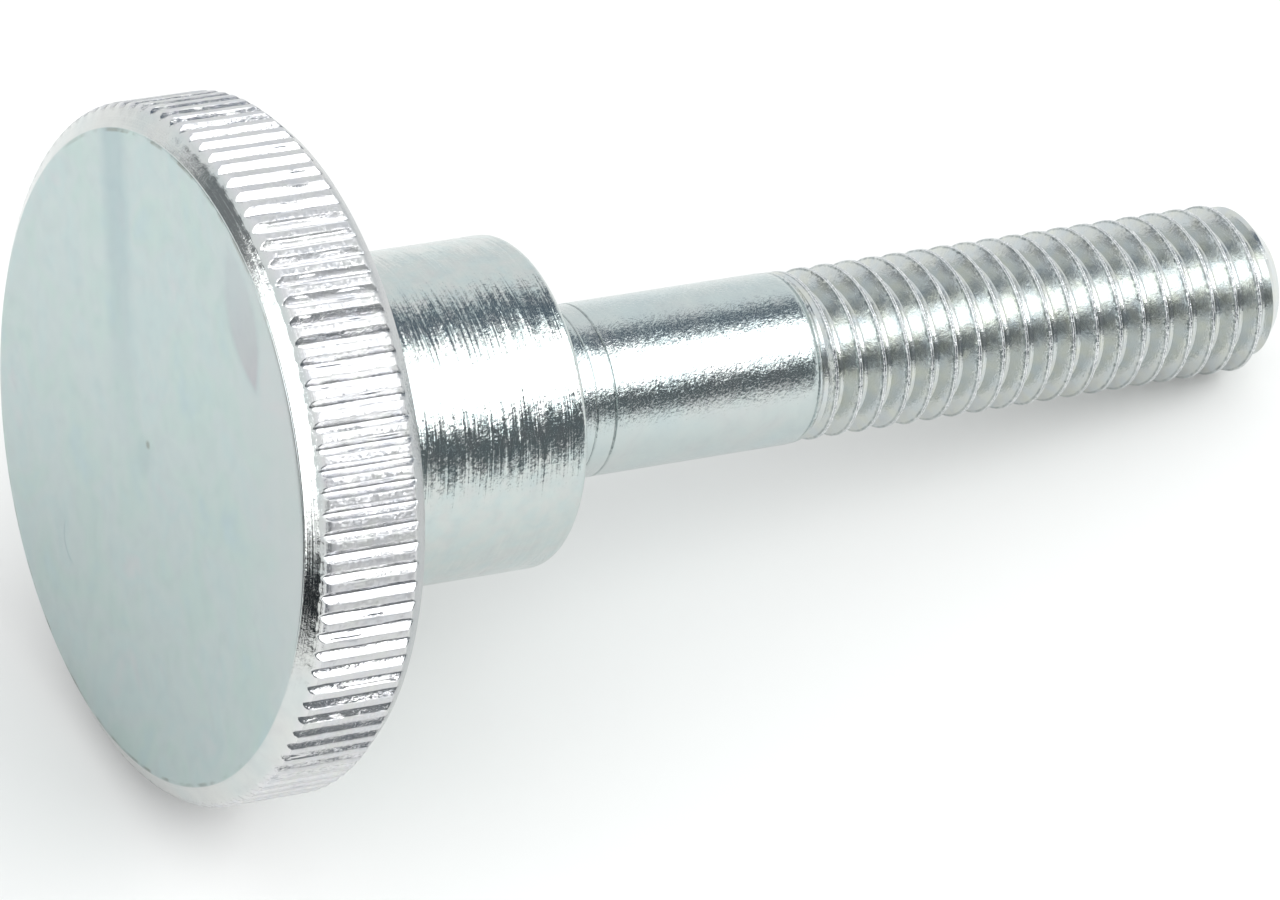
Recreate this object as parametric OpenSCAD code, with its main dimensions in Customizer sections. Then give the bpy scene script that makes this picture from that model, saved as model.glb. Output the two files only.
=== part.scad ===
// High knurled thumb screw: a round knurled head, a smooth collar under it,
// a plain shank and a threaded end, all turned from one bar.
// The screw lies on the rear rim of its head and on the edge of its point,
// with the screw axis in the XZ plane and the point towards +X.
// Origin: middle of the bounding box in plan, on the surface it lies on.

/* [Head] */
// Diameter of the head over the knurl crests
head_d = 20; // [18:0.5:24]
// Thickness of the knurled disc
head_h = 3.66; // [3.2:0.02:5]
// Diameter of the flat outer face of the head
face_d = 18.60; // [17.6:0.02:19.2]
// Axial length of the chamfer between the face and the knurl
front_chamfer_l = 0.40; // [0.3:0.01:0.8]
// Diameter of the flat rear face of the head
rear_d = 19.12; // [18:0.02:19.4]
// Axial length of the chamfer behind the knurl
rear_chamfer_l = 0.54; // [0.3:0.01:0.7]

/* [Knurl] */
// Number of straight knurl grooves round the head
knurl_n = 104; // [85:1:115]
// Depth of each groove below the crests
knurl_depth = 0.18; // [0.1:0.01:0.22]
// Width of the groove floor
knurl_floor = 0.05; // [0.03:0.01:0.08]
// Angle between the two flanks of a groove
knurl_angle = 90; // [80:1:100]

/* [Collar] */
// Diameter of the smooth collar
collar_d = 9.62; // [8.5:0.02:12]
// Length from the outer face of the head to the end of the collar
collar_end = 11.5; // [8:0.1:14]
// Radius of the rounded rear edge of the collar
collar_edge_r = 0.22; // [0.1:0.01:0.5]

/* [Shank] */
// Diameter of the plain shank
shank_d = 5.02; // [4.98:0.01:5.1]
// Radius of the fillet between the collar and the shank
shank_fillet_r = 0.15; // [0.05:0.01:0.3]
// Length under the collar to the point
screw_l = 25; // [18:0.5:40]
// Axial length of the chamfer between the shank and the thread
shoulder_l = 0.12; // [0.05:0.01:0.3]

/* [Thread] */
// Major diameter of the M5 thread
thread_d = 4.98; // [4.9:0.01:4.98]
// Length of the thread, point included
thread_l = 16; // [10:0.5:16]
// Diameter of the flat end of the point
point_d = 3.46; // [3:0.02:4]
// Axial length of the chamfer on the point
point_l = 0.76; // [0.5:0.01:1]

/* [Hidden] */
$fn = 96;

head_r = head_d / 2;
face_r = face_d / 2;
rear_r = rear_d / 2;
collar_r = collar_d / 2;
shank_r = shank_d / 2;
thread_r = thread_d / 2;
point_r = point_d / 2;
total_l = collar_end + screw_l;
thread_z = total_l - thread_l;

// Half the opening and half the floor of a groove, as angles round the head
floor_a = atan(knurl_floor / 2 / (head_r - knurl_depth));
open_a = atan((knurl_floor / 2 + knurl_depth * tan(knurl_angle / 2)) / head_r);

// The lying pose: the two lowest crests at the rear end of the knurl and the
// outer edge of the point touch the surface
crest_drop = head_r * cos(open_a);
rest_z = head_h - rear_chamfer_l;
tip_z = total_l - point_l;
tilt = atan((crest_drop - thread_r) / (tip_z - rest_z));

// Plan extent and height of the tilted screw, measured from the face centre
low_x = -face_r * sin(tilt);
knurl_low_x = front_chamfer_l * cos(tilt) - head_r * sin(tilt);
min_x = min(low_x, knurl_low_x);
max_x = total_l * cos(tilt) + point_r * sin(tilt);
max_x2 = tip_z * cos(tilt) + thread_r * sin(tilt);
mid_x = (min_x + max(max_x, max_x2)) / 2;
lift_z = rest_z * sin(tilt) + crest_drop * cos(tilt);

// Outline of the knurled disc across the screw axis. A groove, not a crest,
// faces the surface that the screw lies on.
module knurl_outline() {
    polygon([
        for (i = [0 : knurl_n - 1])
            let (c = i * 360 / knurl_n)
            for (p = [[-open_a, head_r], [-floor_a, head_r - knurl_depth],
                      [floor_a, head_r - knurl_depth], [open_a, head_r]])
                [p[1] * cos(c + p[0]), p[1] * sin(c + p[0])]
    ]);
}

// The disc: straight grooves, cut off by the chamfers at both ends
module head() {
    intersection() {
        linear_extrude(height = head_h) knurl_outline();
        rotate_extrude()
            polygon([
                [0, 0],
                [face_r, 0],
                [face_r + (head_r - face_r) * 1.5, front_chamfer_l * 1.5],
                [rear_r + (head_r - rear_r) * 1.5, head_h - rear_chamfer_l * 1.5],
                [rear_r, head_h],
                [0, head_h]
            ]);
    }
}

// Collar, shank and thread blank as one turned outline. The thread is a plain
// cylinder at its major diameter.
module shaft_outline() {
    difference() {
        union() {
            translate([0, head_h / 2]) square([collar_r, collar_end - head_h / 2 - collar_edge_r]);
            translate([0, head_h / 2]) square([collar_r - collar_edge_r, collar_end - head_h / 2]);
            translate([collar_r - collar_edge_r, collar_end - collar_edge_r]) circle(r = collar_edge_r);
            polygon([
                [0, head_h / 2],
                [shank_r, head_h / 2],
                [shank_r, thread_z - shoulder_l],
                [thread_r, thread_z],
                [thread_r, tip_z],
                [point_r, total_l],
                [0, total_l]
            ]);
            translate([0, collar_end - 0.01]) square([shank_r + shank_fillet_r, shank_fillet_r + 0.01]);
        }
        translate([shank_r + shank_fillet_r, collar_end + shank_fillet_r]) circle(r = shank_fillet_r);
    }
}

module thumb_screw() {
    color([0.80, 0.83, 0.85])
    translate([-mid_x, 0, lift_z])
    rotate([0, 90 + tilt, 0])
    union() {
        head();
        rotate_extrude() shaft_outline();
    }
}

thumb_screw();
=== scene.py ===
import math

import bpy
import numpy as np
from mathutils import Matrix, Vector


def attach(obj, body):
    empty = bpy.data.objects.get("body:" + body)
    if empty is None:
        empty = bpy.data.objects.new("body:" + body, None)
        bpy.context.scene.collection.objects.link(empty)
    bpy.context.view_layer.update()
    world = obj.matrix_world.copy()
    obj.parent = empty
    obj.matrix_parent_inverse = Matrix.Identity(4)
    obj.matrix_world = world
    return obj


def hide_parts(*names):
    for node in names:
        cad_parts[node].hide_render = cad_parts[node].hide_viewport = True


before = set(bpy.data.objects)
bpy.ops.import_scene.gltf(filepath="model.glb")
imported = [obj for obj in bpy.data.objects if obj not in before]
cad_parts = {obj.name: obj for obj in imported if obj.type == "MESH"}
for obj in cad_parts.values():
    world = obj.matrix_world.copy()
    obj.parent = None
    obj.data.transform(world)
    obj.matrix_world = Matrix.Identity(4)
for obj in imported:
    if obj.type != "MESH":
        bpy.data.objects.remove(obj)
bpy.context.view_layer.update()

# ---------------------------------------------------------------- sizes, mm
# The same numbers as the CAD part.
HEAD_R, HEAD_H, FACE_R, REAR_R = 10.0, 3.66, 9.30, 9.56
FRONT_L, REAR_L = 0.40, 0.54
TEETH, K_DEPTH, K_FLOOR = 104, 0.18, 0.05
COLLAR_R, COLLAR_END, COLLAR_EDGE = 4.81, 11.5, 0.22
SHANK_R, SHANK_FILLET = 2.51, 0.15
THREAD_R, POINT_R, POINT_L = 2.49, 1.73, 0.76
TOTAL_L, THREAD_L, PITCH = 36.5, 16.0, 0.8

open_a = math.atan((K_FLOOR / 2 + K_DEPTH) / HEAD_R)
crest_drop = HEAD_R * math.cos(open_a)
rest_z = HEAD_H - REAR_L
tip_z = TOTAL_L - POINT_L
TILT = math.atan((crest_drop - THREAD_R) / (tip_z - rest_z))
min_x = min(-FACE_R * math.sin(TILT), FRONT_L * math.cos(TILT) - HEAD_R * math.sin(TILT))
max_x = max(
    TOTAL_L * math.cos(TILT) + POINT_R * math.sin(TILT),
    tip_z * math.cos(TILT) + THREAD_R * math.sin(TILT),
)
MID_X = (min_x + max_x) / 2
LIFT_Z = rest_z * math.sin(TILT) + crest_drop * math.cos(TILT)

# Screw frame: ex faces down, ez runs from the head to the point.
EX = np.array([-math.sin(TILT), 0.0, -math.cos(TILT)])
EY = np.array([0.0, 1.0, 0.0])
EZ = np.array([math.cos(TILT), 0.0, -math.sin(TILT)])
P0 = np.array([-MID_X, 0.0, LIFT_Z])

rng = np.random.default_rng(4641)


# ---------------------------------------------------------------- mesh store
class Mesh:
    def __init__(self):
        self.v = []
        self.f = []
        self.n = 0

    def ring(self, theta, r, z):
        theta, r, z = np.broadcast_arrays(np.asarray(theta, float), r, z)
        pts = np.stack([r * np.cos(theta), r * np.sin(theta), z], 1)
        idx = np.arange(self.n, self.n + len(pts))
        self.v.append(pts)
        self.n += len(pts)
        return idx

    def point(self, z):
        self.v.append(np.array([[0.0, 0.0, z]]))
        self.n += 1
        return self.n - 1

    def join(self, a, b):
        """Quads between two rings of one count; b is further along the outline."""
        a2, b2 = np.roll(a, -1), np.roll(b, -1)
        self.f.extend(np.stack([a, a2, b2, b], 1).tolist())

    def step(self, fine, coarse, fine_first):
        """Joins a fine ring to a ring with a whole number of times fewer points."""
        k = len(fine) // len(coarse)
        m = len(coarse)
        for i in range(m):
            seg = [fine[(i * k + j) % len(fine)] for j in range(k + 1)]
            c0, c1 = coarse[i], coarse[(i + 1) % m]
            half = k // 2
            tris = []
            for j in range(half):
                tris.append((seg[j], seg[j + 1], c0))
            tris.append((seg[half], c1, c0))
            for j in range(half, k):
                tris.append((seg[j], seg[j + 1], c1))
            for t in tris:
                self.f.append(list(t) if fine_first else [t[0], t[2], t[1]])

    def fan(self, ring, centre, outward_first):
        m = len(ring)
        for i in range(m):
            t = [ring[i], ring[(i + 1) % m], centre]
            self.f.append(t if outward_first else t[::-1])


def smooth_noise(rows, length, samples, step, seed):
    """rows x samples of smooth noise in -1..1 with the given feature length."""
    g = np.random.default_rng(seed)
    n = int(math.ceil(length / step)) + 3
    knots = g.uniform(-1, 1, (rows, n))
    x = np.asarray(samples) / step
    i = np.clip(np.floor(x).astype(int), 0, n - 2)
    f = x - i
    f = f * f * (3 - 2 * f)
    return knots[:, i] * (1 - f) + knots[:, i + 1] * f


M = Mesh()

# ---------------------------------------------------------------- the head
pitch_a = 2 * math.pi / TEETH
land = HEAD_R * pitch_a / 2
# Points across one tooth space, from the middle of a crest to the next
US = np.array([-land, -0.245, -0.213, -0.189, -0.150, -0.105, -0.055, 0.0, 0.055, 0.105, 0.150, 0.189, 0.213, 0.245])
NU = len(US)
base_d = np.interp(
    np.abs(US),
    [0.0, 0.055, 0.105, 0.150, 0.189, 0.213, 0.245, land],
    [0.172, 0.140, 0.090, 0.045, 0.007, 0.002, 0.000, 0.003],
)
COLS = TEETH * NU
tooth_of = np.repeat(np.arange(TEETH), NU)
u_of = np.tile(US, TEETH)
d_of = np.tile(base_d, TEETH)
theta0 = tooth_of * pitch_a + u_of / HEAD_R

# Outline of the front corner: a cone that rounds over into the cylinder
ROUND_R = 0.42
cone_a = math.atan2(HEAD_R - FACE_R, FRONT_L)
tangent = ROUND_R * math.tan(cone_a / 2)
s_a = FRONT_L - tangent * math.cos(cone_a)
s_b = FRONT_L + tangent


def front_r(s):
    s = np.asarray(s, float)
    cone = FACE_R + (HEAD_R - FACE_R) * s / FRONT_L
    arc = HEAD_R - ROUND_R + np.sqrt(np.maximum(ROUND_R**2 - (s_b - s) ** 2, 0.0))
    return np.where(s < s_a, cone, np.where(s < s_b, arc, HEAD_R))


fs = np.linspace(0.0, s_b, 400)
s_front = np.interp(HEAD_R - d_of - 0.003, front_r(fs), fs)
s_rear = (HEAD_H - REAR_L) + REAR_L * d_of / (HEAD_R - REAR_R)


def head_ring(s, r):
    return M.ring(theta0, r, s)


def cone_r(s):
    return FACE_R + (HEAD_R - FACE_R) * s / FRONT_L


rows = []
# rounded outer edge of the face
rows.append(head_ring(0.0, FACE_R - 0.018))
rows.append(head_ring(0.005, FACE_R + 0.001))
rows.append(head_ring(0.030, cone_r(0.030)))
for s, lift in ((0.075, 0.0010), (0.12, -0.0015), (0.165, 0.0010), (0.21, -0.0005)):
    rows.append(head_ring(s, cone_r(s) + lift))
for k in (0.35, 0.7):
    s = 0.21 + (s_front - 0.21) * k
    rows.append(head_ring(s, front_r(s)))

# the knurled band
T = np.concatenate([[0.0, 0.02, 0.05], np.linspace(0.095, 0.915, 13), [0.955, 0.98, 1.0]])
s_mid = FRONT_L + T * (HEAD_H - REAR_L - FRONT_L)
side = np.sign(u_of)
wob_l = smooth_noise(TEETH, 4.0, s_mid, 0.42, 11)
wob_r = smooth_noise(TEETH, 4.0, s_mid, 0.42, 12)
wob_f = smooth_noise(TEETH, 4.0, s_mid, 0.17, 13)
wob_g = smooth_noise(TEETH, 4.0, s_mid, 0.19, 14)
wob_m = smooth_noise(TEETH, 4.0, s_mid, 0.9, 15)
depth_n = smooth_noise(TEETH, 4.0, s_mid, 0.55, 16)
dbl_l = smooth_noise(TEETH, 4.0, s_mid, 0.75, 17)
dbl_r = smooth_noise(TEETH, 4.0, s_mid, 0.75, 18)
burr_l = smooth_noise(TEETH, 4.0, s_mid, 0.24, 19)
burr_r = smooth_noise(TEETH, 4.0, s_mid, 0.24, 20)
seam = smooth_noise(TEETH, 4.0, s_mid, 0.5, 21)
ragged = smooth_noise(COLS, 4.0, s_mid, 1.1, 22)
ragged_fine = smooth_noise(COLS, 4.0, s_mid, 0.22, 23)
tooth_depth = rng.uniform(-1, 1, TEETH)
fade = np.clip(np.minimum(T, 1 - T) / 0.10, 0, 1)
fade = fade * fade * (3 - 2 * fade)
tooth_deg = (np.degrees(tooth_of * pitch_a) + 180.0) % 360.0 - 180.0


def window(lo, hi, soft=5.0):
    return np.clip((tooth_deg - lo) / soft + 0.5, 0, 1) * np.clip((hi - tooth_deg) / soft + 0.5, 0, 1)


twice = 0.10 + 0.90 * np.maximum.reduce([0.95 * window(-174, -150), 0.8 * window(-128, -106), 0.5 * window(20, 60), 0.6 * window(95, 125)])
for j, t in enumerate(T):
    left = side < 0
    wob = np.where(left, wob_l[tooth_of, j] * 0.008 + wob_f[tooth_of, j] * 0.006, wob_r[tooth_of, j] * 0.008 + wob_g[tooth_of, j] * 0.006)
    wob = np.where(side == 0, wob_m[tooth_of, j] * 0.010, wob + wob_m[tooth_of, j] * 0.006)
    is_land = np.abs(u_of) > land - 1e-9
    prev = (tooth_of - 1) % TEETH
    wob = np.where(is_land, 0.0, wob)
    d = d_of * (1 + 0.07 * tooth_depth[tooth_of] * fade[j] + 0.06 * depth_n[tooth_of, j] * fade[j])
    # a second, shallow track beside some grooves, where the wheel ran twice
    dbl = np.where(left, np.clip(dbl_l[tooth_of, j] * 1.6, 0, 1), np.clip(dbl_r[tooth_of, j] * 1.6, 0, 1))
    au = np.abs(u_of)
    track = np.exp(-(((au - 0.150) / 0.03) ** 2)) * 0.020 - np.exp(-(((au - 0.105) / 0.025) ** 2)) * 0.012
    d = d + track * dbl * fade[j]
    burr = np.where(left, burr_l[tooth_of, j], burr_r[tooth_of, j])
    inner = ((au > 0.05) & (au < 0.17)).astype(float)
    d = d + inner * twice * (0.0075 * ragged[:, j] + 0.006 * ragged_fine[:, j]) * fade[j]
    edge = np.exp(-(((au - 0.205) / 0.018) ** 2))
    d = d + edge * (0.003 - 0.005 * burr) * fade[j]
    d = d + np.where(is_land, (0.003 + 0.006 * np.clip(seam[tooth_of, j], -0.5, 1)) * fade[j], 0.0)
    d = np.clip(d, 0.0, 0.190)
    r = HEAD_R - d
    if t == 0.0:
        s = s_front + 0.0
        r = front_r(s)
    elif t == 1.0:
        r = HEAD_R - d_of - 0.004
        s = s_rear
    else:
        s = s_front + t * (s_rear - s_front)
        r = np.minimum(r, front_r(s))
    th = theta0 + wob * fade[j] / HEAD_R
    rows.append(M.ring(th, np.minimum(r, HEAD_R), s))

# rear chamfer
for s in (3.43, 3.52, 3.61):
    rows.append(head_ring(s, REAR_R + (HEAD_R - REAR_R) * (HEAD_H - s) / REAR_L))
rows.append(head_ring(HEAD_H - 0.010, REAR_R - 0.004))
rows.append(head_ring(HEAD_H, REAR_R - 0.045))
for a, b in zip(rows[:-1], rows[1:]):
    M.join(a, b)

# outer face, from the rim inwards, with the shallow rings a facing tool leaves
C1 = 208
ang = np.arange(C1) * 2 * math.pi / C1
# column 0 of the head ring sits half a crest before angle 0
offset = theta0[0]
face_rings = []
prev_ring = M.ring(ang + offset, 9.05, 0.0)
M.step(rows[0], prev_ring, False)
for r in (8.2, 7.3, 6.3, 5.2, 4.0):
    ring = M.ring(ang + offset, r, 0.0)
    M.join(ring, prev_ring)
    prev_ring = ring
for count, r in ((104, 2.9), (52, 1.8), (26, 0.9)):
    ring = M.ring(np.arange(count) * 2 * math.pi / count + offset, r, 0.0)
    M.step(prev_ring, ring, False)
    prev_ring = ring
centre = M.point(0.0)
M.fan(prev_ring, centre, False)

# rear face of the head, down to the collar
prev_ring = M.ring(ang + offset, 9.30, HEAD_H)
M.step(rows[-1], prev_ring, True)
for r in (8.4, 7.2, 6.0, 5.15):
    ring = M.ring(ang + offset, r, HEAD_H)
    M.join(prev_ring, ring)
    prev_ring = ring
# small fillet at the foot of the collar
for k in range(1, 5):
    a = k / 4 * math.pi / 2
    rr = COLLAR_R + 0.10 * (1 - math.sin(a))
    zz = HEAD_H + 0.10 * (1 - math.cos(a))
    ring = M.ring(ang + offset, rr, zz)
    M.join(prev_ring, ring)
    prev_ring = ring

# ---------------------------------------------------------------- the collar
for i, z in enumerate(np.linspace(HEAD_H + 0.4, COLLAR_END - COLLAR_EDGE - 0.05, 20)):
    ring = M.ring(ang + offset, COLLAR_R + 0.0006 * math.sin(i * 2.4), z)
    M.join(prev_ring, ring)
    prev_ring = ring
for k in range(0, 7):
    a = k / 6 * math.pi / 2
    ring = M.ring(ang + offset, COLLAR_R - COLLAR_EDGE * (1 - math.cos(a)), COLLAR_END - COLLAR_EDGE * (1 - math.sin(a)))
    M.join(prev_ring, ring)
    prev_ring = ring
for r in (4.0, 3.3):
    ring = M.ring(ang + offset, r, COLLAR_END)
    M.join(prev_ring, ring)
    prev_ring = ring
for k in range(0, 5):
    a = k / 4 * math.pi / 2
    ring = M.ring(ang + offset, SHANK_R + SHANK_FILLET * (1 - math.sin(a)), COLLAR_END + SHANK_FILLET * (1 - math.cos(a)))
    M.join(prev_ring, ring)
    prev_ring = ring

# ---------------------------------------------------------------- the shank
shank_end = TOTAL_L - THREAD_L - 0.12
marks = []
for z in np.linspace(COLLAR_END + 0.4, shank_end - 0.40, 16):
    marks.append((z, 0.0))
for g, dep in ((13.04, 0.020), (13.66, 0.034)):
    marks += [(g - 0.075, 0.0), (g - 0.045, 0.0), (g - 0.010, dep), (g + 0.010, dep), (g + 0.045, 0.0), (g + 0.075, 0.0)]
marks.sort()
for z, dep in marks:
    ring = M.ring(ang + offset, SHANK_R - dep, z)
    M.join(prev_ring, ring)
    prev_ring = ring
for dz, dr in ((-0.24, 0.0), (-0.18, 0.004), (-0.12, 0.014), (-0.06, 0.030), (-0.02, 0.046), (0.0, 0.060)):
    ring = M.ring(ang + offset, SHANK_R - dr, shank_end + dz)
    M.join(prev_ring, ring)
    prev_ring = ring

# ---------------------------------------------------------------- the thread
CT = 104
t_ang = np.arange(CT) * 2 * math.pi / CT + offset
Z0 = shank_end + 0.02
# Phase of the profile across one pitch, and depth below the crest. The crest
# is a narrow flat with rounded corners, the flanks stand at 60 degrees to
# each other, and the root is rounded.
prof = np.array(
    [
        [-0.057, 0.012],
        [-0.034, 0.000],
        [0.000, 0.014],
        [0.034, 0.000],
        [0.057, 0.012],
        [0.190, 0.2425],
        [0.3117, 0.4533],
        [0.345, 0.477],
        [0.400, 0.486],
        [0.455, 0.477],
        [0.4883, 0.4533],
        [0.610, 0.2425],
    ]
)
THREAD_PHASE = 0.0
m = len(prof)
turns = int(math.ceil((TOTAL_L - Z0) / PITCH)) + 2
rows_t = []
tz = []
td = []
for kk in range(-2, turns):
    for a, b in prof:
        tz.append(a + kk * PITCH)
        td.append(b)
tz = np.array(tz)
td = np.array(td)
ntz = len(tz)
theta_rel = np.arange(CT) / CT * PITCH
Zraw = Z0 + THREAD_PHASE * PITCH + tz[:, None] + theta_rel[None, :]
Z = np.clip(Zraw, Z0, TOTAL_L)
ramp = np.clip((Z - Z0) / 0.55, 0, 1)
ramp = ramp * ramp * (3 - 2 * ramp)
bite = smooth_noise(CT + 1, 1.0, [0.5], 1.0, 31)[:CT, 0]
D = td[:, None] * ramp
# the crest of a rolled thread is never quite even
uneven = np.random.default_rng(77).uniform(0.0, 1.0, Z.shape)
D = D + np.where(td[:, None] < 0.02, uneven * 0.007, 0.0) * ramp
Rr = THREAD_R - D
# where a row was clamped it no longer follows the profile
clamped_lo = Zraw < Z0
Rr = np.where(clamped_lo, THREAD_R - 0.0, Rr)
cone = np.where(Z > tip_z, THREAD_R - (THREAD_R - POINT_R) * (Z - tip_z) / POINT_L, THREAD_R)
Rr = np.minimum(Rr, cone)
Rr = np.where(Zraw >= TOTAL_L, POINT_R, Rr)
base = M.n
pts = np.stack([Rr * np.cos(t_ang)[None, :], Rr * np.sin(t_ang)[None, :], Z], 2).reshape(-1, 3)
M.v.append(pts)
M.n += len(pts)


def tid(j, i):
    if i == CT:
        j, i = j + m, 0
    return base + j * CT + i


for j in range(ntz - m - 1):
    for i in range(CT):
        M.f.append([tid(j, i), tid(j, i + 1), tid(j + 1, i + 1), tid(j + 1, i)])
# rings that close the two ends
first = M.ring(t_ang, THREAD_R, Z0)
M.step(prev_ring, first, True)
last = M.ring(t_ang, POINT_R, TOTAL_L)
prev_ring = last
ring = M.ring(t_ang, POINT_R - 0.03, TOTAL_L)
M.join(prev_ring, ring)
prev_ring = ring
for count, r in ((104, 1.3), (52, 0.9), (26, 0.5), (13, 0.22)):
    ring = M.ring(np.arange(count) * 2 * math.pi / count + offset, r, TOTAL_L)
    if count == 104:
        M.join(prev_ring, ring)
    else:
        M.step(prev_ring, ring, True)
    prev_ring = ring
centre = M.point(TOTAL_L)
M.fan(prev_ring, centre, True)


# ---------------------------------------------------------------- weld, place
def weld(verts, faces, tol=2e-5):
    key = np.round(verts / tol).astype(np.int64)
    _, first_idx, inv = np.unique(key, axis=0, return_index=True, return_inverse=True)
    inv = inv.reshape(-1)
    new_v = verts[first_idx]
    out = []
    seen = set()
    for f in faces:
        g = []
        for i in f:
            w = int(inv[i])
            if not g or g[-1] != w:
                g.append(w)
        if len(g) > 1 and g[0] == g[-1]:
            g.pop()
        if len(g) < 3 or len(set(g)) < len(g):
            continue
        k = tuple(sorted(g))
        if k in seen:
            continue
        seen.add(k)
        out.append(g)
    used = sorted({i for f in out for i in f})
    remap = {o: n for n, o in enumerate(used)}
    return new_v[used], [[remap[i] for i in f] for f in out]


V, F = weld(np.concatenate(M.v), M.f)
W = P0[None, :] + V[:, 0:1] * EX + V[:, 1:2] * EY + V[:, 2:3] * EZ
mesh = bpy.data.meshes.new("thumb_screw_turned")
mesh.from_pydata((W / 1000.0).tolist(), [], F)
mesh.update()
mesh.validate()
screw = bpy.data.objects.new("thumb_screw_turned", mesh)
bpy.context.scene.collection.objects.link(screw)
mesh.polygons.foreach_set("use_smooth", [True] * len(mesh.polygons))
mesh.set_sharp_from_angle(angle=math.radians(26))
# The knurl grooves run out on the chamfers with rounded ends, so those edges stay smooth
co = np.empty(len(mesh.vertices) * 3)
mesh.vertices.foreach_get("co", co)
co = (co.reshape(-1, 3) * 1000.0 - P0) @ np.stack([EX, EY, EZ], 1)
ev = np.empty(len(mesh.edges) * 2, dtype=np.int32)
mesh.edges.foreach_get("vertices", ev)
ev = ev.reshape(-1, 2)
ea, eb = co[ev[:, 0]], co[ev[:, 1]]
ed = eb - ea
along_axis = np.abs(ed[:, 2]) / np.maximum(np.linalg.norm(ed, axis=1), 1e-9)
em = (ea + eb) / 2
er = np.hypot(em[:, 0], em[:, 1])
run_out = (er > 9.70) & (along_axis < 0.85) & (em[:, 2] > 0.3) & (em[:, 2] < 3.5)
# Thread flanks stay flat, so every edge along the helix is crisp
bm_n = np.empty(len(mesh.polygons) * 3)
mesh.polygons.foreach_get("normal", bm_n)
bm_n = bm_n.reshape(-1, 3)
loop_e = np.empty(len(mesh.loops), dtype=np.int32)
mesh.loops.foreach_get("edge_index", loop_e)
loop_t = np.empty(len(mesh.polygons), dtype=np.int32)
mesh.polygons.foreach_get("loop_total", loop_t)
loop_p = np.repeat(np.arange(len(mesh.polygons)), loop_t)
order = np.argsort(loop_e, kind="stable")
pair = loop_p[order].reshape(-1, 2)
bend = np.degrees(np.arccos(np.clip((bm_n[pair[:, 0]] * bm_n[pair[:, 1]]).sum(1), -1, 1)))
flat_edges = (em[:, 2] > 20.42) & (em[:, 2] < 35.8) & (bend > 9.0) & (along_axis < 0.5)
attr = mesh.attributes["sharp_edge"]
flags = np.empty(len(mesh.edges), dtype=bool)
attr.data.foreach_get("value", flags)
attr.data.foreach_set("value", (flags & ~run_out) | flat_edges)
print("triangles", sum(len(p.vertices) - 2 for p in mesh.polygons))

# ---------------------------------------------------------------- material
mat = bpy.data.materials.new("bright_zinc")
mat.use_nodes = True
nt = mat.node_tree
nt.nodes.clear()
N = nt.nodes
Lk = nt.links


def node(kind, **props):
    n = N.new(kind)
    for k, v in props.items():
        setattr(n, k, v)
    return n


def val(sock, v):
    if isinstance(v, bpy.types.NodeSocket):
        Lk.new(v, sock)
    else:
        sock.default_value = v


def math_n(op, a, b=0.0, c=0.0, clamp=False):
    n = node("ShaderNodeMath", operation=op, use_clamp=clamp)
    val(n.inputs[0], a)
    val(n.inputs[1], b)
    val(n.inputs[2], c)
    return n.outputs[0]


def combine(x, y, z):
    n = node("ShaderNodeCombineXYZ")
    val(n.inputs[0], x)
    val(n.inputs[1], y)
    val(n.inputs[2], z)
    return n.outputs[0]


def noise(vec, scale, detail=2.0, rough=0.5, dist=0.0):
    n = node("ShaderNodeTexNoise", noise_dimensions="3D")
    Lk.new(vec, n.inputs["Vector"])
    n.inputs["Scale"].default_value = scale
    n.inputs["Detail"].default_value = detail
    n.inputs["Roughness"].default_value = rough
    n.inputs["Distortion"].default_value = dist
    return n.outputs["Fac"]


def ramp_n(fac, stops):
    n = node("ShaderNodeValToRGB")
    e = n.color_ramp.elements
    while len(e) < len(stops):
        e.new(0.5)
    for el, (p, c) in zip(e, stops):
        el.position = p
        el.color = (c[0], c[1], c[2], 1.0)
    Lk.new(fac, n.inputs[0])
    return n.outputs[0]


def map_range(v, a, b, c, d):
    n = node("ShaderNodeMapRange", clamp=True)
    val(n.inputs[0], v)
    for i, x in enumerate((a, b, c, d)):
        n.inputs[i + 1].default_value = x
    return n.outputs[0]


coord = node("ShaderNodeTexCoord")
mp = node("ShaderNodeMapping", vector_type="POINT")
Lmat = np.stack([EX, EY, EZ], 1)
loc = -(Lmat.T @ P0)
mp.inputs["Scale"].default_value = (1000.0, 1000.0, 1000.0)
mp.inputs["Rotation"].default_value = (0.0, -(math.pi / 2 + TILT), 0.0)
mp.inputs["Location"].default_value = tuple(float(x) for x in loc)
Lk.new(coord.outputs["Object"], mp.inputs["Vector"])
sep = node("ShaderNodeSeparateXYZ")
Lk.new(mp.outputs[0], sep.inputs[0])
X, Y, ZL = sep.outputs
rad = math_n("SQRT", math_n("ADD", math_n("MULTIPLY", X, X), math_n("MULTIPLY", Y, Y)))
inv = math_n("DIVIDE", 1.0, math_n("MAXIMUM", rad, 0.05))
cx_ = math_n("MULTIPLY", X, inv)
sy_ = math_n("MULTIPLY", Y, inv)
along = math_n("ADD", ZL, math_n("MULTIPLY", rad, 1.3))


def turned(f, c):
    """Coordinates for marks that run round the screw: f per mm along the outline, c round it."""
    return combine(math_n("MULTIPLY", along, f), math_n("MULTIPLY", cx_, c), math_n("MULTIPLY", sy_, c))


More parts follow.
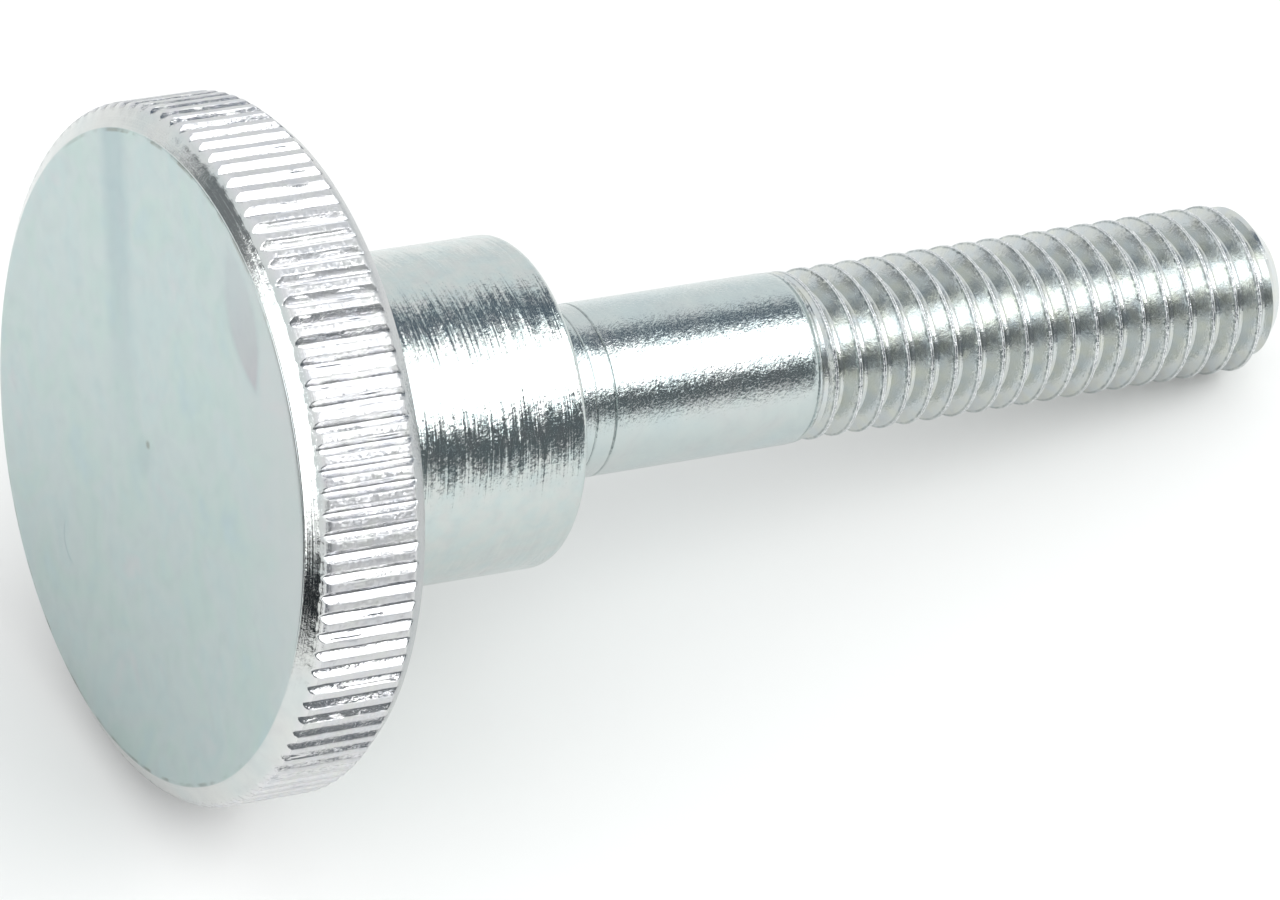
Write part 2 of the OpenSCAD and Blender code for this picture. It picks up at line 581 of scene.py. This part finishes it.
local = mp.outputs[0]
lines_fine = noise(turned(22.0, 3.0), 1.0, 3.0, 0.6)
lines_mid = noise(turned(7.0, 2.2), 1.0, 2.0, 0.5)
streak_round = noise(turned(12.0, 0.55), 1.0, 2.0, 0.75)
streak_along = noise(turned(9.0, 0.8), 1.0, 2.0, 0.7)
grain = noise(local, 13.0, 3.0, 0.65)
grain_fine = noise(local, 24.0, 2.0, 0.6)
blotch = noise(local, 0.55, 3.0, 0.5)
blotch2 = noise(local, 1.9, 2.0, 0.5)

is_face = map_range(ZL, 0.015, 0.03, 1.0, 0.0)
is_knurl = math_n("MULTIPLY", map_range(rad, 9.70, 9.80, 0.0, 1.0), map_range(ZL, 0.30, 0.45, 0.0, 1.0))
is_chamfer = math_n("MULTIPLY", map_range(ZL, 0.015, 0.05, 0.0, 1.0), map_range(ZL, 0.45, 0.60, 1.0, 0.0))
is_thread = map_range(ZL, 20.3, 20.5, 0.0, 1.0)
is_collar = math_n("MULTIPLY", map_range(ZL, 3.6, 3.7, 0.0, 1.0), map_range(ZL, 11.4, 11.5, 1.0, 0.0))

# colour: cold white zinc, a little green or blue in places, yellow-green on the thread
face_n = noise(local, 0.42, 4.0, 0.55, 0.4)
tint_face = ramp_n(face_n, [(0.30, (0.475, 0.585, 0.605)), (0.42, (0.50, 0.605, 0.585)), (0.52, (0.525, 0.60, 0.60)), (0.60, (0.50, 0.60, 0.60)), (0.70, (0.545, 0.59, 0.60))])
tint_side = ramp_n(blotch, [(0.35, (0.525, 0.60, 0.605)), (0.5, (0.545, 0.605, 0.60)), (0.65, (0.57, 0.605, 0.60))])
# the thread is yellow-green, and painted light: its zinc is set brighter than the rest
thread_tint_and_light = ramp_n(blotch2, [(0.35, (0.60, 0.64, 0.65)), (0.52, (0.625, 0.65, 0.635)), (0.68, (0.64, 0.66, 0.615))])


def mix_col(fac, a_, b_):
    n = node("ShaderNodeMix", data_type="RGBA", blend_type="MIX")
    Lk.new(fac, n.inputs["Factor"])
    Lk.new(a_, n.inputs[6])
    Lk.new(b_, n.inputs[7])
    return n.outputs[2]


colour = mix_col(math_n("MAXIMUM", is_face, is_collar), tint_side, tint_face)
tint_col = ramp_n(blotch2, [(0.35, (0.54, 0.61, 0.605)), (0.5, (0.56, 0.612, 0.60)), (0.65, (0.58, 0.612, 0.60))])
colour = mix_col(is_collar, colour, tint_col)
colour = mix_col(is_thread, colour, thread_tint_and_light)
tint_k = ramp_n(blotch2, [(0.35, (0.655, 0.665, 0.685)), (0.5, (0.68, 0.68, 0.69)), (0.65, (0.675, 0.683, 0.675))])
tint_c = ramp_n(blotch, [(0.35, (0.60, 0.64, 0.635)), (0.5, (0.635, 0.655, 0.645)), (0.65, (0.65, 0.66, 0.645))])
# painted shade: the rear chamfer is coloured darker, standing in for the shadowed floor it reflects
rear_shade_tint = ramp_n(blotch, [(0.35, (0.455, 0.475, 0.485)), (0.65, (0.49, 0.495, 0.50))])
colour = mix_col(math_n("MULTIPLY", map_range(rad, 9.30, 9.36, 0.0, 1.0), map_range(ZL, 0.01, 0.03, 0.0, 1.0)), colour, tint_c)
colour = mix_col(is_knurl, colour, tint_k)
colour = mix_col(math_n("MULTIPLY", map_range(rad, 9.50, 9.56, 0.0, 1.0), map_range(ZL, 3.14, 3.24, 0.0, 1.0)), colour, rear_shade_tint)

# painted shade in the two fine creases beside the thread crest, and a painted highlight on the crest
turn_f = math_n("DIVIDE", math_n("SUBTRACT", math_n("ARCTAN2", Y, X), float(offset)), 2 * math.pi)
helix = math_n("SUBTRACT", math_n("DIVIDE", math_n("SUBTRACT", ZL, float(Z0)), PITCH), turn_f)
helix = math_n("ABSOLUTE", math_n("SUBTRACT", math_n("FRACT", math_n("ADD", helix, 0.5)), 0.5))
painted_crease_shade = map_range(math_n("ABSOLUTE", math_n("SUBTRACT", helix, 0.088)), 0.014, 0.034, 1.0, 0.0)
painted_crease_shade = math_n("MAXIMUM", painted_crease_shade, map_range(helix, 0.008, 0.024, 1.0, 0.0))
painted_crease_shade = math_n("MULTIPLY", painted_crease_shade, map_range(noise(local, 5.0, 3.0, 0.7), 0.40, 0.56, 0.25, 1.0))
on_crest = math_n("MULTIPLY", is_thread, map_range(rad, 2.39, 2.43, 0.0, 1.0))
painted_crease_shade = math_n("MULTIPLY", painted_crease_shade, on_crest)
crease_shade_col = ramp_n(grain, [(0.35, (0.16, 0.19, 0.20)), (0.65, (0.38, 0.42, 0.41))])
painted_crest_highlight = ramp_n(grain_fine, [(0.38, (0.50, 0.53, 0.54)), (0.50, (0.74, 0.76, 0.77)), (0.62, (0.95, 0.95, 0.96))])
colour = mix_col(math_n("MULTIPLY", map_range(helix, 0.060, 0.078, 0.9, 0.0), on_crest), colour, painted_crest_highlight)
colour = mix_col(math_n("MULTIPLY", painted_crease_shade, 0.70), colour, crease_shade_col)

# painted shade: the two fine turning grooves on the shank are coloured grey
groove_a = map_range(math_n("ABSOLUTE", math_n("SUBTRACT", ZL, 13.04)), 0.012, 0.040, 0.55, 0.0)
groove_b = map_range(math_n("ABSOLUTE", math_n("SUBTRACT", ZL, 13.66)), 0.020, 0.055, 0.85, 0.0)
painted_groove_shade = math_n("MULTIPLY", math_n("MAXIMUM", groove_a, groove_b), map_range(noise(local, 1.3, 3.0, 0.6), 0.38, 0.56, 0.25, 1.0))
colour = mix_col(painted_groove_shade, colour, crease_shade_col)

# marks on the outer face: a faint band and a small dark lens near the rim are painted reflections; a soft halo and a
# thin arc are rinse stains
band_t = math_n("ADD", math_n("MULTIPLY", math_n("ADD", X, 7.4), 0.099), math_n("MULTIPLY", math_n("SUBTRACT", Y, 5.2), -0.0507))
band_d = math_n("ADD", math_n("MULTIPLY", math_n("ADD", X, 7.4), 0.456), math_n("MULTIPLY", math_n("SUBTRACT", Y, 5.2), 0.890))
reflection_band = math_n("MULTIPLY", map_range(math_n("ABSOLUTE", band_d), 0.38, 0.98, 1.0, 0.0), map_range(band_t, 0.30, 1.05, 1.0, 0.0))
lens_t = math_n("ADD", math_n("MULTIPLY", math_n("ADD", X, 7.31), 0.315), math_n("MULTIPLY", math_n("ADD", Y, 3.22), -0.325))
lens_q = math_n("ABSOLUTE", math_n("ADD", math_n("MULTIPLY", math_n("ADD", X, 7.31), 0.78), math_n("MULTIPLY", math_n("ADD", Y, 3.22), 0.757)))
lens_v = math_n("ADD", lens_q, math_n("MULTIPLY", lens_t, lens_t))
lens = math_n("MULTIPLY", map_range(lens_v, 0.74, 1.10, 1.0, 0.0), map_range(lens_t, -1.0, 0.8, 0.35, 0.95))


def spot(cx0, cy0, r0, r1):
    dx, dy = math_n("SUBTRACT", X, cx0), math_n("SUBTRACT", Y, cy0)
    dd = math_n("SQRT", math_n("ADD", math_n("MULTIPLY", dx, dx), math_n("MULTIPLY", dy, dy)))
    return dd, map_range(dd, r0, r1, 1.0, 0.0)


pit_d, pit = spot(-0.36, 0.14, 0.06, 0.16)
halo_d, halo = spot(0.10, 0.20, 0.25, 0.75)
hair_d, _ = spot(5.05, 2.75, 0.0, 1.0)
hair = map_range(math_n("ABSOLUTE", math_n("SUBTRACT", hair_d, 0.85)), 0.015, 0.05, 1.0, 0.0)
hair = math_n("MULTIPLY", hair, math_n("MULTIPLY", map_range(Y, 2.7, 2.9, 0.0, 1.0), map_range(X, 4.9, 5.2, 0.0, 1.0)))
reflection_and_stain_col = ramp_n(lens, [(0.0, (0.375, 0.475, 0.50)), (0.45, (0.42, 0.46, 0.49)), (1.0, (0.455, 0.43, 0.46))])
reflection_and_stain = math_n("MAXIMUM", math_n("MULTIPLY", reflection_band, 0.62), math_n("MULTIPLY", lens, 0.85))
reflection_and_stain = math_n("MAXIMUM", reflection_and_stain, math_n("MULTIPLY", halo, 0.35))
reflection_and_stain = math_n("MAXIMUM", reflection_and_stain, math_n("MULTIPLY", hair, 0.8))
colour = mix_col(math_n("MULTIPLY", reflection_and_stain, is_face), colour, reflection_and_stain_col)
# a painted dark reflection in a line where the face meets the chamfer, only here and there
rim_reflection = math_n("MULTIPLY", map_range(math_n("ABSOLUTE", math_n("SUBTRACT", rad, FACE_R - 0.02)), 0.03, 0.07, 1.0, 0.0), map_range(ZL, 0.05, 0.09, 1.0, 0.0))
rim_reflection = math_n("MULTIPLY", rim_reflection, map_range(noise(local, 1.1, 3.0, 0.6), 0.45, 0.60, 0.0, 1.0))
rim_reflection = math_n("MULTIPLY", rim_reflection, map_range(math_n("ABSOLUTE", X), 4.5, 8.0, 0.1, 0.75))
pit_and_rim_reflection_col = ramp_n(grain, [(0.3, (0.20, 0.22, 0.20)), (0.7, (0.30, 0.31, 0.27))])
colour = mix_col(math_n("MAXIMUM", rim_reflection, math_n("MULTIPLY", math_n("MULTIPLY", pit, is_face), 0.7)), colour, pit_and_rim_reflection_col)
# cloudy mottling, and painted shade: the lower part of the face is a little darker
fine = noise(local, 1.7, 5.0, 0.62, 0.6)
shade = ramp_n(fine, [(0.30, (0.955, 0.95, 0.96)), (0.5, (1.0, 1.0, 1.0)), (0.70, (1.03, 1.03, 1.02))])
mul = node("ShaderNodeMix", data_type="RGBA", blend_type="MULTIPLY")
mul.inputs["Factor"].default_value = 1.0
Lk.new(colour, mul.inputs[6])
Lk.new(shade, mul.inputs[7])
warm_m = math_n("ADD", math_n("MULTIPLY", X, -0.55), math_n("MULTIPLY", Y, -0.83))
warm_m = math_n("MULTIPLY", map_range(warm_m, 5.2, 9.2, 0.0, 0.75), is_face)
warm_c = ramp_n(face_n, [(0.35, (0.555, 0.60, 0.60)), (0.65, (0.585, 0.60, 0.605))])
painted_low_shade = ramp_n(map_range(X, -4.0, 9.4, 0.0, 1.0), [(0.0, (1.0, 1.0, 1.0)), (0.6, (0.955, 0.955, 0.955)), (0.9, (0.91, 0.915, 0.915)), (1.0, (0.82, 0.83, 0.83))])
mul2 = node("ShaderNodeMix", data_type="RGBA", blend_type="MULTIPLY")
Lk.new(is_face, mul2.inputs["Factor"])
Lk.new(mul.outputs[2], mul2.inputs[6])
Lk.new(painted_low_shade, mul2.inputs[7])
colour = mix_col(math_n("MULTIPLY", warm_m, math_n("SUBTRACT", 1.0, reflection_and_stain)), mul2.outputs[2], warm_c)

is_land = math_n("MULTIPLY", is_knurl, map_range(rad, 9.965, 9.985, 0.0, 1.0))
rough = math_n("ADD", 0.07, math_n("MULTIPLY", grain, 0.08))
rough = math_n("ADD", rough, math_n("MULTIPLY", is_face, 0.14))
rough = math_n("ADD", rough, math_n("MULTIPLY", is_land, 0.26))
rough = math_n("SUBTRACT", rough, math_n("MULTIPLY", is_chamfer, 0.025))


def worn(deg, inner_deg, outer_deg):
    """A stretch of the knurl round the angle deg, where the wheel ran twice and left it duller."""
    a = math.radians(deg)
    m_ = math_n("ADD", math_n("MULTIPLY", cx_, math.cos(a)), math_n("MULTIPLY", sy_, math.sin(a)))
    return map_range(m_, math.cos(math.radians(outer_deg)), math.cos(math.radians(inner_deg)), 0.0, 1.0)


dulled = math_n("MAXIMUM", worn(-162.0, 9.0, 15.0), math_n("MULTIPLY", worn(-117.0, 8.0, 14.0), 0.5))
dulled = math_n("MULTIPLY", dulled, math_n("SUBTRACT", is_knurl, is_land))
rough = math_n("ADD", rough, math_n("MULTIPLY", dulled, 0.15))
rough = math_n("ADD", rough, math_n("MULTIPLY", is_thread, 0.09))
rough = math_n("ADD", rough, math_n("MULTIPLY", is_knurl, 0.075))

# height of the surface marks in mm
line_h = math_n("ADD", 0.0012, math_n("ADD", math_n("MULTIPLY", is_collar, 0.005), math_n("MULTIPLY", is_chamfer, 0.001)))
height = math_n("MULTIPLY", lines_fine, line_h)
height = math_n("ADD", height, math_n("MULTIPLY", lines_mid, math_n("ADD", 0.001, math_n("MULTIPLY", is_chamfer, 0.005))))
grain_h = math_n("ADD", 0.012, math_n("ADD", math_n("MULTIPLY", is_collar, -0.005), math_n("ADD", math_n("MULTIPLY", is_thread, -0.006), math_n("MULTIPLY", is_chamfer, -0.008))))
height = math_n("ADD", height, math_n("MULTIPLY", grain, grain_h))
height = math_n("ADD", height, math_n("MULTIPLY", grain_fine, 0.003))
not_face = math_n("SUBTRACT", 1.0, math_n("MULTIPLY", is_face, 0.93))
height = math_n("MULTIPLY", height, not_face)

# turning streaks: each fine track leans the surface a little, round and along the screw
is_root = math_n("MULTIPLY", map_range(ZL, 11.4, 11.5, 0.0, 1.0), map_range(ZL, 13.3, 14.3, 1.0, 0.0))
lean_r = math_n("ADD", 0.04, math_n("ADD", math_n("MULTIPLY", is_collar, 0.50), math_n("MULTIPLY", is_root, 0.30)))
streak_fine = noise(turned(15.0, 0.8), 1.0, 1.0, 0.5)
streak_thin = noise(turned(24.0, 1.3), 1.0, 1.0, 0.5)
sr = math_n("MULTIPLY", math_n("SUBTRACT", streak_round, 0.5), 0.17)
sr = math_n("ADD", sr, map_range(streak_fine, 0.585, 0.625, 0.0, 0.13))
sr = math_n("ADD", sr, map_range(streak_fine, 0.35, 0.39, -0.13, 0.0))
sr = math_n("ADD", sr, map_range(streak_thin, 0.42, 0.58, -0.04, 0.04))
lean_r = math_n("MULTIPLY", sr, math_n("ADD", lean_r, math_n("MULTIPLY", is_chamfer, 0.20)))
lean_a = math_n("ADD", 0.06, math_n("MULTIPLY", is_collar, 0.30))
lean_a = math_n("MULTIPLY", math_n("SUBTRACT", streak_along, 0.5), lean_a)
streak_ch = noise(turned(8.5, 0.6), 1.0, 2.0, 0.6)
lean_c = map_range(streak_ch, 0.38, 0.62, -0.14, 0.14)
lean_a = math_n("ADD", lean_a, math_n("MULTIPLY", lean_c, is_chamfer))
lean_r = math_n("MULTIPLY", lean_r, not_face)
lean_a = math_n("MULTIPLY", lean_a, not_face)
round_dir = combine(math_n("MULTIPLY", sy_, math.sin(TILT)), cx_, math_n("MULTIPLY", sy_, math.cos(TILT)))
geo = node("ShaderNodeNewGeometry")


def vmath(op, a_, b_=None, scale=None):
    n = node("ShaderNodeVectorMath", operation=op)
    val(n.inputs[0], a_)
    if b_ is not None:
        val(n.inputs[1], b_)
    if scale is not None:
        val(n.inputs["Scale"], scale)
    return n.outputs[0]


leaned = vmath("ADD", geo.outputs["Normal"], vmath("SCALE", round_dir, scale=lean_r))
axis_dir = combine(float(EZ[0]), float(EZ[1]), float(EZ[2]))
leaned = vmath("ADD", leaned, vmath("SCALE", axis_dir, scale=lean_a))
leaned = vmath("NORMALIZE", leaned)
# the plating is finely grained: small facets, each tipped its own way
warp = node("ShaderNodeTexNoise", noise_dimensions="3D")
Lk.new(local, warp.inputs["Vector"])
warp.inputs["Scale"].default_value = 9.0
warp.inputs["Detail"].default_value = 1.0
warped = vmath("ADD", local, vmath("SCALE", vmath("SUBTRACT", warp.outputs["Color"], (0.5, 0.5, 0.5)), scale=0.10))
cells = node("ShaderNodeTexVoronoi", voronoi_dimensions="3D", feature="F1")
Lk.new(warped, cells.inputs["Vector"])
cells.inputs["Scale"].default_value = 12.0
facet = vmath("SUBTRACT", cells.outputs["Color"], (0.5, 0.5, 0.5))
facet_amp = math_n("ADD", 0.085, math_n("ADD", math_n("MULTIPLY", is_knurl, 0.01), math_n("MULTIPLY", is_thread, -0.035)))
facet_amp = math_n("SUBTRACT", facet_amp, math_n("ADD", math_n("MULTIPLY", is_collar, -0.01), math_n("MULTIPLY", is_chamfer, 0.055)))
facet_amp = math_n("ADD", facet_amp, math_n("ADD", math_n("MULTIPLY", is_land, 0.20), math_n("MULTIPLY", on_crest, 0.22)))
facet_amp = math_n("MULTIPLY", facet_amp, map_range(is_face, 0.0, 1.0, 1.0, 0.03))
leaned = vmath("NORMALIZE", vmath("ADD", leaned, vmath("SCALE", facet, scale=facet_amp)))
bump = node("ShaderNodeBump")
bump.inputs["Strength"].default_value = 1.0
bump.inputs["Distance"].default_value = 0.001
Lk.new(height, bump.inputs["Height"])
Lk.new(leaned, bump.inputs["Normal"])

bsdf = node("ShaderNodeBsdfPrincipled")
bsdf.inputs["Metallic"].default_value = 1.0
Lk.new(colour, bsdf.inputs["Base Color"])
Lk.new(rough, bsdf.inputs["Roughness"])
Lk.new(bump.outputs[0], bsdf.inputs["Normal"])
out = node("ShaderNodeOutputMaterial")
Lk.new(bsdf.outputs[0], out.inputs[0])
mesh.materials.append(mat)

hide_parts("thumb_screw")
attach(screw, "root")

# ---------------------------------------------------------------- stage
def plain(name, color, rough_v=0.6, emit=None, strength=1.0):
    mt = bpy.data.materials.new(name)
    mt.use_nodes = True
    b = mt.node_tree.nodes["Principled BSDF"]
    b.inputs["Base Color"].default_value = (*color, 1.0)
    b.inputs["Roughness"].default_value = rough_v
    b.inputs["Specular IOR Level"].default_value = 0.0
    if emit is not None:
        b.inputs["Emission Color"].default_value = (*emit, 1.0)
        b.inputs["Emission Strength"].default_value = strength
    return mt


def quad(name, corners, material):
    me = bpy.data.meshes.new(name)
    me.from_pydata([tuple(c) for c in corners], [], [(0, 1, 2, 3)])
    me.materials.append(material)
    ob = bpy.data.objects.new(name, me)
    bpy.context.scene.collection.objects.link(ob)
    return ob


floor = quad("floor", [(-6, -6, 0), (6, -6, 0), (6, 6, 0), (-6, 6, 0)], plain("floor_paper", (0.84, 0.84, 0.83)))


def direction(az, el):
    a, e = math.radians(az), math.radians(el)
    return Vector((math.cos(e) * math.cos(a), math.cos(e) * math.sin(a), math.sin(e)))


def softbox(name, az, el, dist, w, h, power, colour=(1, 1, 1)):
    ld = bpy.data.lights.new(name, "AREA")
    ld.shape = "RECTANGLE"
    ld.size = w
    ld.size_y = h
    ld.energy = power
    ld.color = colour
    ob = bpy.data.objects.new(name, ld)
    bpy.context.scene.collection.objects.link(ob)
    d = direction(az, el)
    ob.location = d * dist + Vector((0, 0, 0.008))
    ob.rotation_euler = d.to_track_quat("Z", "Y").to_euler()
    return ob


def card(name, az0, az1, el0, el1, dist, material, steps=12, foot=None):
    """A curved card seen only in reflections, between two azimuths and two elevations."""
    verts, faces = [], []
    for i in range(steps + 1):
        a = math.radians(az0 + (az1 - az0) * i / steps)
        for e in (el0, el1):
            z = 0.008 + dist * math.tan(math.radians(e))
            verts.append((dist * math.cos(a), dist * math.sin(a), max(z, 0.0004)))
    for i in range(steps):
        faces.append((2 * i, 2 * i + 2, 2 * i + 3, 2 * i + 1))
    me = bpy.data.meshes.new(name)
    me.from_pydata(verts, [], faces)
    me.materials.append(material)
    ob = bpy.data.objects.new(name, me)
    bpy.context.scene.collection.objects.link(ob)
    ob.visible_camera = False
    ob.visible_diffuse = False
    ob.visible_shadow = False
    return ob


front = plain("front_card", (0.0, 0.0, 0.0), emit=(0.145, 0.162, 0.175), strength=1.0)
dark = plain("dark_card", (0.0, 0.0, 0.0), emit=(0.03, 0.034, 0.038), strength=1.0)
side = plain("side_card", (0.0, 0.0, 0.0), emit=(0.24, 0.255, 0.265), strength=1.0)
grey = plain("grey_card", (0.0, 0.0, 0.0), emit=(0.140, 0.174, 0.216), strength=1.0)
card("front_gap", -128, -35, -8.4, 26.0, 0.050, front)
card("left_foot_gap", 160, 208, -8.2, 5.8, 0.046, dark)
card("right_gap", -1, 34, 26, 62, 0.30, grey)
card("left_gap", 131, 157, 3, 30, 0.30, side)

softbox("key_right", -41, 37.5, 0.45, 0.50, 0.24, 1.22)
softbox("key_left", 170, 13, 0.45, 0.30, 0.19, 0.45)
softbox("fill_top", -90, 62, 0.60, 0.30, 0.30, 0.15)

world = bpy.data.worlds.new("studio")
bpy.context.scene.world = world
world.use_nodes = True
bg = world.node_tree.nodes["Background"]
bg.inputs[0].default_value = (0.97, 0.99, 1.0, 1.0)
bg.inputs[1].default_value = 1.0

# ---------------------------------------------------------------- camera
cam_data = bpy.data.cameras.new("camera")
cam_data.sensor_width = 36.0
cam_data.sensor_fit = "HORIZONTAL"
cam_data.lens = 309.458
cam_data.clip_start = 0.01
cam_data.clip_end = 20.0
cam = bpy.data.objects.new("camera", cam_data)
bpy.context.scene.collection.objects.link(cam)
cam_rows = [
    [0.8903242, 0.3147043, -0.3290654],
    [-0.4552134, 0.5990471, -0.6587286],
    [-0.0101791, 0.736277, 0.6766037],
]
cam.matrix_world = Matrix.Translation((-0.106015, -0.209167, 0.219008)) @ Matrix(cam_rows).to_4x4()
bpy.context.scene.camera = cam
bpy.context.scene.view_settings.view_transform = "Standard"
bpy.context.scene.view_settings.look = "None"
